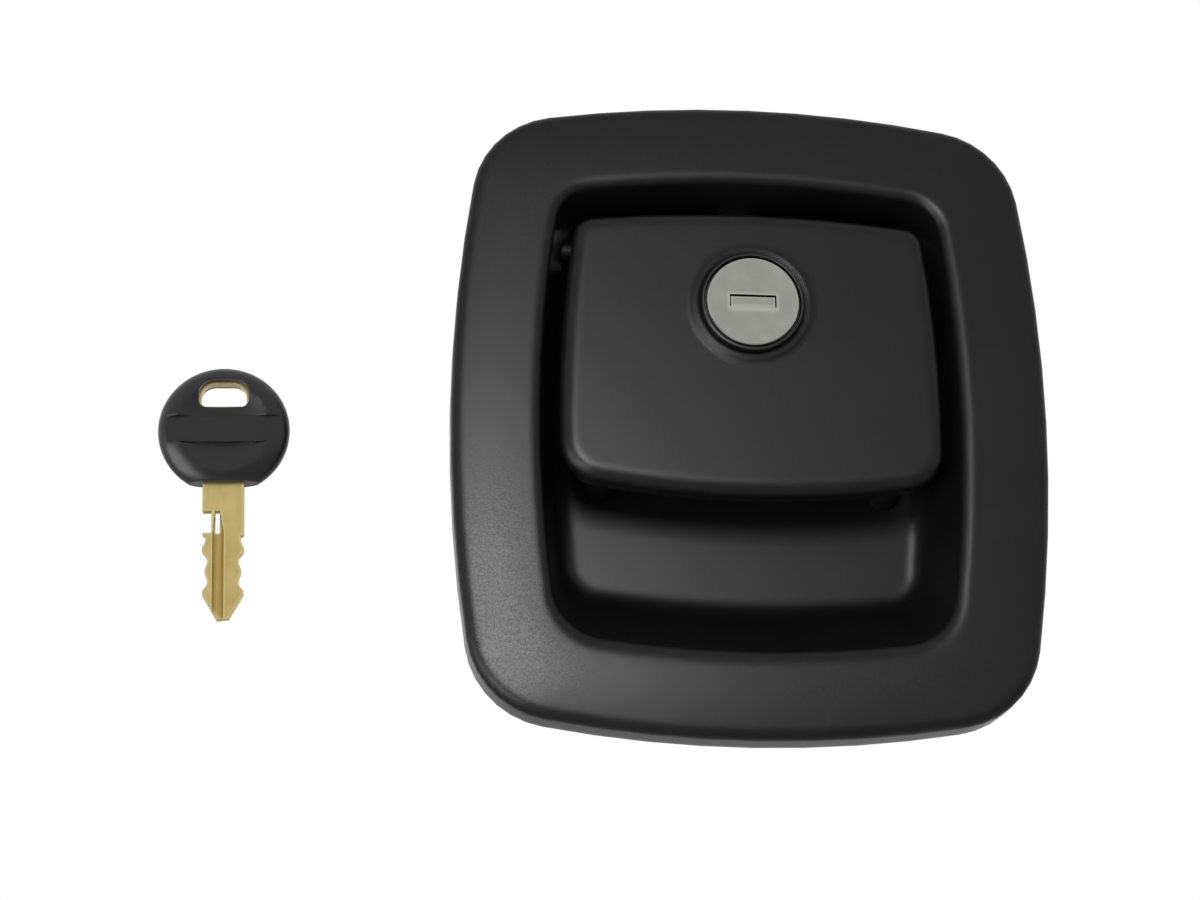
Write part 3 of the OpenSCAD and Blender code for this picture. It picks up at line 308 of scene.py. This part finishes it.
def raised(tree, shader, height, depth, strength, soft=0.0):
    """Raises a pattern by depth metres, over edges that look rounded by soft metres."""
    bump = tree.nodes.new("ShaderNodeBump")
    bump.inputs["Distance"].default_value = depth
    bump.inputs["Strength"].default_value = strength
    tree.links.new(height, bump.inputs["Height"])
    if soft:
        rounding = tree.nodes.new("ShaderNodeBevel")
        rounding.samples = NEAR_RAYS
        rounding.inputs["Radius"].default_value = soft
        tree.links.new(rounding.outputs["Normal"], bump.inputs["Normal"])
    tree.links.new(bump.outputs["Normal"], shader.inputs["Normal"])


powder_coat, tree, shader, place = blank_finish("black_powder_coat")
speck = grain(tree, place, scale=2600, detail=2)
black = toned(tree, grain(tree, place, scale=60),
              dark=(0.0024, 0.0024, 0.0026), light=(0.0034, 0.0034, 0.0036))
# Lighter along the outer edges: painted edge highlight, with a little wear.
black = edge_sheen_and_wear(tree, black, sheen_and_wear=(0.009, 0.009, 0.0093))
surfaced(tree, shader, black, spread(tree, speck, low=0.28, high=0.36), specular=0.17)
raised(tree, shader, speck, depth=0.00003, strength=0.20, soft=0.0022)

dressed("pan_housing", "pan", "housing", powder_coat, ease=0.0003)

# The gasket. A ring of closed-cell foam cut from sheet, stuck to the rim's back so that it is
# pressed between the casting and the door's skin.
foam, tree, shader, place = blank_finish("closed_cell_foam")
cells = tree.nodes.new("ShaderNodeTexVoronoi")
cells.inputs["Scale"].default_value = 2200
tree.links.new(place, cells.inputs["Vector"])
pores = cells.outputs["Distance"]
charcoal = toned(tree, grain(tree, place, scale=300),
                 dark=(0.012, 0.012, 0.013), light=(0.022, 0.022, 0.023))
surfaced(tree, shader, charcoal,
         spread(tree, pores, low=0.75, high=0.95, start=0, end=0.6), specular=0.2)
raised(tree, shader, pores, depth=0.0002, strength=0.5)

dressed("flange_gasket", "gasket", "housing", foam)

# The studs. Four M5 steel studs with rolled threads and a thick root, set in bosses behind the
# bezel and zinc plated. Nuts behind the door's skin pull the latch tight on them.
plated, tree, shader, place = blank_finish("zinc_plated_steel")
streak = grain(tree, place, scale=1600, stretch=(1, 1, 0.3))
zinc = toned(tree, grain(tree, place, scale=140),
             dark=(0.49, 0.50, 0.515), light=(0.55, 0.56, 0.57))
# Lighter along the outer edges: painted edge highlight, with a little wear.
zinc = edge_sheen_and_wear(tree, zinc, sheen_and_wear=(0.68, 0.68, 0.68))
surfaced(tree, shader, zinc, spread(tree, streak, low=0.31, high=0.37), metal=1)
raised(tree, shader, streak, depth=0.000008, strength=0.15)

stud_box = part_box("mounting_studs")
ROOT_R, STUD_R, THREAD_DEPTH, PITCH = 0.0029, 0.0025, 0.00042, 0.0008
CORE_R, RIDGE_HALF = STUD_R - THREAD_DEPTH, 0.48 * PITCH
THREAD_START, THREAD_TURNS, TURN_STEPS = 0.0008, 18, 24
TIP_EASE, ROOT_EASE, SMOOTH_BELOW = 0.0005, 0.0003, radians(25)
STUD_X, STUD_Z = stud_box[1].x - ROOT_R, stud_box[1].z - ROOT_R
ROOT_START, ROOT_END, STUD_END = stud_box[0].y, 0, stud_box[1].y

bpy.ops.object.select_all(action="DESELECT")
bpy.ops.mesh.primitive_circle_add(vertices=4, radius=1)
studs = bpy.context.object
studs.name = "threaded_studs"
bpy.ops.object.mode_set(mode="EDIT")
bpy.ops.mesh.select_all(action="SELECT")
bpy.ops.transform.resize(value=(THREAD_DEPTH, RIDGE_HALF, 1), center_override=(0, 0, 0))
bpy.ops.transform.translate(value=(CORE_R, THREAD_START, 0))
bpy.ops.object.mode_set(mode="OBJECT")
thread = studs.modifiers.new("thread", "SCREW")
thread.axis = "Y"
thread.screw_offset = PITCH
thread.iterations = THREAD_TURNS
thread.steps = TURN_STEPS
thread.render_steps = TURN_STEPS
thread.use_smooth_shade = False
bpy.ops.object.modifier_apply(modifier=thread.name)
bpy.ops.object.mode_set(mode="EDIT")
bpy.ops.mesh.select_all(action="SELECT")
bpy.ops.mesh.fill_holes(sides=0)
bpy.ops.mesh.normals_make_consistent(inside=False)
for radius, end, ease in ((CORE_R, STUD_END, TIP_EASE), (ROOT_R, ROOT_END, ROOT_EASE)):
    bpy.ops.mesh.primitive_cylinder_add(vertices=TURN_STEPS, radius=radius,
                                        depth=end - ROOT_START, rotation=(pi / 2, 0, 0),
                                        location=(0, (end + ROOT_START) / 2, 0))
    bpy.ops.mesh.bevel(offset=ease, offset_type="OFFSET", segments=2, affect="EDGES")
bpy.ops.mesh.select_all(action="SELECT")
bpy.ops.transform.translate(value=(STUD_X, 0, STUD_Z))
for step in ((-2 * STUD_X, 0, 0), (0, 0, -2 * STUD_Z)):
    bpy.ops.mesh.select_all(action="SELECT")
    bpy.ops.mesh.duplicate_move(TRANSFORM_OT_translate={"value": step})
bpy.ops.object.mode_set(mode="OBJECT")
bpy.ops.object.shade_smooth_by_angle(angle=SMOOTH_BELOW)
studs.data.materials.append(plated)
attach(studs, "housing")
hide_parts("mounting_studs")

# The hinge pin. A ground rod through both walls of the pan near the top, held from sliding by a
# spring clip on each end. Pin and clips are blackened and oiled. The paddle swings on the pin.
oxide, tree, shader, place = blank_finish("black_oxide")
ground = grain(tree, place, scale=1500, detail=4, stretch=(0.08, 1, 1))
black = toned(tree, ground, dark=(0.0025, 0.0025, 0.0028), light=(0.0050, 0.0050, 0.0055))
# Lighter along the outer edges: painted edge highlight, with a little wear.
black = edge_sheen_and_wear(tree, black, sheen_and_wear=(0.012, 0.012, 0.012))
surfaced(tree, shader, black, spread(tree, ground, low=0.38, high=0.55), specular=0.08)
raised(tree, shader, ground, depth=0.00002, strength=0.25)

dressed("hinge_pin", "hinge_rod", "housing", oxide, ease=0.0003)
dressed("hinge_clips", "retaining_clips", "housing", oxide, ease=0.0001)

# The bumpers. Two moulded rubber buttons pressed into holes in the pan's floor. The paddle shuts
# on them without a rattle.
rubber, tree, shader, place = blank_finish("bumper_rubber")
bloom = grain(tree, place, scale=700, detail=4)
black = toned(tree, bloom, dark=(0.0025, 0.0025, 0.0025), light=(0.0045, 0.0045, 0.0045))
surfaced(tree, shader, black, spread(tree, bloom, low=0.62, high=0.82), specular=0.06)
raised(tree, shader, bloom, depth=0.00004, strength=0.3)

dressed("paddle_bumpers", "rubber_buttons", "housing", rubber,
        ease=0.0004, steps=3)

# The paddle. A second zinc casting, coated like the pan: a crowned plate with a rolled edge, ribs
# behind it, two ears on the pin and a round boss for the lock.
dressed("paddle_handle", "paddle", "paddle", powder_coat, ease=0.0003)

# The bushes. Turned nylon sleeves with a flange, pressed into the paddle's ears so that they run
# quietly on the steel pin.
nylon, tree, shader, place = blank_finish("white_nylon")
cloudy = grain(tree, place, scale=220)
cream = toned(tree, cloudy, dark=(0.56, 0.55, 0.50), light=(0.66, 0.65, 0.60))
surfaced(tree, shader, cream, spread(tree, cloudy, low=0.42, high=0.58))
shader.inputs["Subsurface Weight"].default_value = 0.15
shader.inputs["Subsurface Radius"].default_value = (0.001, 0.001, 0.001)
raised(tree, shader, grain(tree, place, scale=2400), depth=0.00002, strength=0.2)

dressed("hinge_bushes", "nylon_bushes", "paddle", nylon, ease=0.0001)

# The return spring. Music wire wound round the pin, one leg under a ledge on the paddle and one
# towards the pan's floor.
wire, tree, shader, place = blank_finish("spring_wire")
drawn = grain(tree, place, scale=1600)
steel = toned(tree, drawn, dark=(0.20, 0.20, 0.21), light=(0.34, 0.34, 0.35))
surfaced(tree, shader, steel, spread(tree, drawn, low=0.24, high=0.40), metal=1)
raised(tree, shader, drawn, depth=0.00001, strength=0.25)

dressed("return_spring", "return_wire", "paddle", wire,
        ease=0.00005, steps=1, corner=60)

# The trip arm. A blanked and folded steel lever on the pin, screwed to the paddle's ribs. Its end
# hooks the bolt and draws it down.
trip_arm = dressed("trip_arm", "trip_lever", "paddle", plated)
dressed("arm_screws", "lever_screws", "paddle", plated, ease=0.00012)

# The lock's barrel. A turned and cast zinc body with a wide collar and a raised bead that shows on
# the paddle's front. It is stoved satin black, and a thin nut holds it from behind.
stoved, tree, shader, place = blank_finish("stoved_black")
ripple = grain(tree, place, scale=1400, detail=2)
black = toned(tree, grain(tree, place, scale=90),
              dark=(0.0026, 0.0026, 0.0028), light=(0.0036, 0.0036, 0.0038))
# Lighter along the outer edges: painted edge highlight, with a little wear.
black = edge_sheen_and_wear(tree, black, sheen_and_wear=(0.007, 0.007, 0.007))
surfaced(tree, shader, black, spread(tree, ripple, low=0.30, high=0.40), specular=0.24)
raised(tree, shader, ripple, depth=0.00003, strength=0.2)

dressed("lock_cylinder", "lock_barrel", "paddle", stoved, steps=3)
dressed("lock_nut", "barrel_nut", "paddle", plated)

# The lock's plug. A turned zinc core, nickel plated and brushed on its face, with the keyway across
# it. A small sprung shutter on a pin closes the keyway until a key pushes it in.
nickel, tree, shader, place = blank_finish("satin_nickel")
brushed = grain(tree, place, scale=3200, stretch=(0.06, 1, 1))
silver = toned(tree, grain(tree, place, scale=320),
               dark=(0.285, 0.285, 0.262), light=(0.325, 0.325, 0.300))
# Lighter along the outer edges: painted edge highlight, with a little wear.
silver = edge_sheen_and_wear(tree, silver, sheen_and_wear=(0.42, 0.42, 0.40))
surfaced(tree, shader, silver, spread(tree, brushed, low=0.18, high=0.26), metal=1)
raised(tree, shader, brushed, depth=0.000004, strength=0.2)

plug = dressed("lock_plug", "keyed_plug", "plug", nickel, steps=3)
shutter = dressed("key_shutter", "dust_shutter", "shutter", nickel, ease=0.00008)
dressed("shutter_pin", "shutter_rod", "plug", wire, ease=0.00008)

# The wafers. Thin brass plates in slots across the plug, each with a window that the key lifts to
# its own height. They are blanked from sheet. The brass material lays a dull brown into grooves and
# hollows: painted shade.
HOLLOW_SHADE_REACH, HOLLOW_SHADE_MOST = 0.0016, 0.9
brass, tree, shader, place = blank_finish("key_brass")
milled = grain(tree, place, scale=1500, detail=4, stretch=(1, 1, 0.05))
yellow = toned(tree, grain(tree, place, scale=260, detail=4),
               dark=(0.48, 0.37, 0.14), light=(0.57, 0.45, 0.185))
# Painted shade: a dull brown laid where faces of the piece are near, in grooves and hollows.
painted_hollow_shade = spread(tree, openness(tree, HOLLOW_SHADE_REACH), low=HOLLOW_SHADE_MOST, high=0, start=0.80, end=0.98)
yellow = laid_over(tree, painted_hollow_shade, yellow, over=(0.27, 0.155, 0.024))
# Lighter along the outer edges: painted edge highlight, with a little wear.
yellow = edge_sheen_and_wear(tree, yellow, sheen_and_wear=(0.70, 0.60, 0.32))
surfaced(tree, shader, yellow, spread(tree, milled, low=0.26, high=0.42), metal=1)
raised(tree, shader, milled, depth=0.00002, strength=0.3)

dressed("wafer_tumblers", "brass_wafers", "plug", brass, ease=0.00004, steps=1)

# The lock's cam. A flat blanked steel tongue on the plug's square tail, held by a small screw. It
# turns with the plug.
dressed("lock_cam", "cam_tongue", "plug", plated)
dressed("cam_screw", "tail_screw", "plug", plated, ease=0.00012)

# The bolt's guide. A plate screwed across posts behind the pan, and a folded steel channel on it
# that the bolt runs in.
guide_plate = dressed("guide_plate", "back_plate", "housing", plated)
bolt_guide = dressed("bolt_guide", "guide_channel", "housing", plated)
guide_screws = dressed("guide_screws", "post_screws", "housing", plated,
                       ease=0.00012)

# The bolt. A zinc die casting with a bevelled nose that rides over the striker. A coil spring below
# pushes it up, and the trip arm pulls it down.
die_cast, tree, shader, place = blank_finish("die_cast_zinc")
skin = grain(tree, place, scale=420, detail=5)
grey = toned(tree, skin, dark=(0.36, 0.36, 0.37), light=(0.47, 0.47, 0.48))
# Lighter along the outer edges: painted edge highlight, with a little wear.
grey = edge_sheen_and_wear(tree, grey, sheen_and_wear=(0.60, 0.60, 0.60))
surfaced(tree, shader, grey, spread(tree, skin, low=0.36, high=0.54), metal=1)
raised(tree, shader, skin, depth=0.00004, strength=0.3)

bolt = dressed("latch_bolt", "bevelled_bolt", "bolt", die_cast, ease=0.0003, steps=3)

bolt_spring = dressed("bolt_spring", "bolt_coil", "housing", wire,
                      ease=0.00005, steps=1, corner=60)
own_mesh(bolt_spring)

# The key. A milled brass blade, cut on both edges, with a black plastic head moulded round its bow
# and a ring hole lined by the brass. The head has a rolled rim, and dishes beside its band.
blade = dressed("key_blade", "brass_blade", "key", brass, ease=0.00012, steps=3)

gloss, tree, shader, place = blank_finish("black_moulding")
flow = grain(tree, place, scale=120)
black = toned(tree, flow, dark=(0.0030, 0.0030, 0.0033), light=(0.0045, 0.0045, 0.0048))
# Lighter along the outer edges: painted edge highlight, with a little wear.
black = edge_sheen_and_wear(tree, black, sheen_and_wear=(0.010, 0.010, 0.010))
surfaced(tree, shader, black, spread(tree, flow, low=0.28, high=0.36), specular=0.42)
raised(tree, shader, grain(tree, place, scale=1800, detail=2),
       depth=0.00002, strength=0.1, soft=0.0006)

head_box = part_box("key_head")
HEAD_R, HEAD_HALF = (head_box[1].x - head_box[0].x) / 2, (head_box[1].y - head_box[0].y) / 2
HEAD_X, HEAD_Y = (head_box[0].x + head_box[1].x) / 2, (head_box[0].y + head_box[1].y) / 2
HEAD_Z = head_box[1].z - HEAD_R
RIM_WIDE, RIM_GAP, RIM_STEPS, CROWN_SIDES = 0.0056, 0.00002, 14, 128
CROWN_H, BLANK_H = 0.0036, 1.025 * RIM_WIDE
DISH_R, DISH_D, DISH_SIDES, DISH_RINGS = 0.024, 0.0019, 96, 64
BAND_DROP, BAND_SIZE, BAND_LEAN = 0.0004, (0.04, 0.02, 0.0054), radians(-2.1)

bpy.ops.object.select_all(action="DESELECT")
bpy.ops.mesh.primitive_cylinder_add(vertices=CROWN_SIDES, radius=HEAD_R - RIM_GAP,
                                    depth=2 * BLANK_H, rotation=(pi / 2, 0, 0),
                                    location=(HEAD_X, HEAD_Y, HEAD_Z))
crown = bpy.context.object
rim = crown.modifiers.new("rolled_rim", "BEVEL")
rim.width = RIM_WIDE
rim.segments = RIM_STEPS
rim.limit_method = "ANGLE"
rim.angle_limit = radians(60)
bpy.ops.object.modifier_apply(modifier=rim.name)
bpy.ops.transform.resize(value=(1, CROWN_H / BLANK_H, 1))
for side in (-1, 1):
    dish_y = HEAD_Y + side * (HEAD_HALF + DISH_R - DISH_D)
    bpy.ops.object.select_all(action="DESELECT")
    bpy.ops.mesh.primitive_uv_sphere_add(segments=DISH_SIDES, ring_count=DISH_RINGS, radius=DISH_R,
                                         rotation=(pi / 2, 0, 0), location=(HEAD_X, dish_y, HEAD_Z))
    dish = bpy.context.object
    band_at = (HEAD_X, HEAD_Y + side * HEAD_HALF, HEAD_Z - BAND_DROP)
    bpy.ops.object.select_all(action="DESELECT")
    bpy.ops.mesh.primitive_cube_add(size=1, scale=BAND_SIZE, rotation=(0, BAND_LEAN, 0),
                                    location=band_at)
    carved(dish, "DIFFERENCE", bpy.context.object)
    carved(crown, "DIFFERENCE", dish)
key_head = dressed("key_head", "moulded_head", "key", gloss,
                   ease=0.0003, steps=3, within=crown)


# The reach of the soft boxes. Bright metal would mirror them and turn white, so they pass it by and
# it shows the white room instead. The key's head has light from the side one only.
def spare(lamp, *pieces):
    """Keeps a lamp's light off some pieces."""
    unlit = bpy.data.collections.new("spared_from_" + lamp.name)
    for piece in pieces:
        unlit.objects.link(piece)
    for linked in unlit.collection_objects:
        linked.light_linking.link_state = "EXCLUDE"
    lamp.light_linking.receiver_collection = unlit


bright = (blade, plug, shutter, studs, guide_plate, bolt_guide, guide_screws, bolt, trip_arm)
spare(main_box, *bright, key_head)
spare(low_box, *bright, key_head)
spare(side_box, *bright)
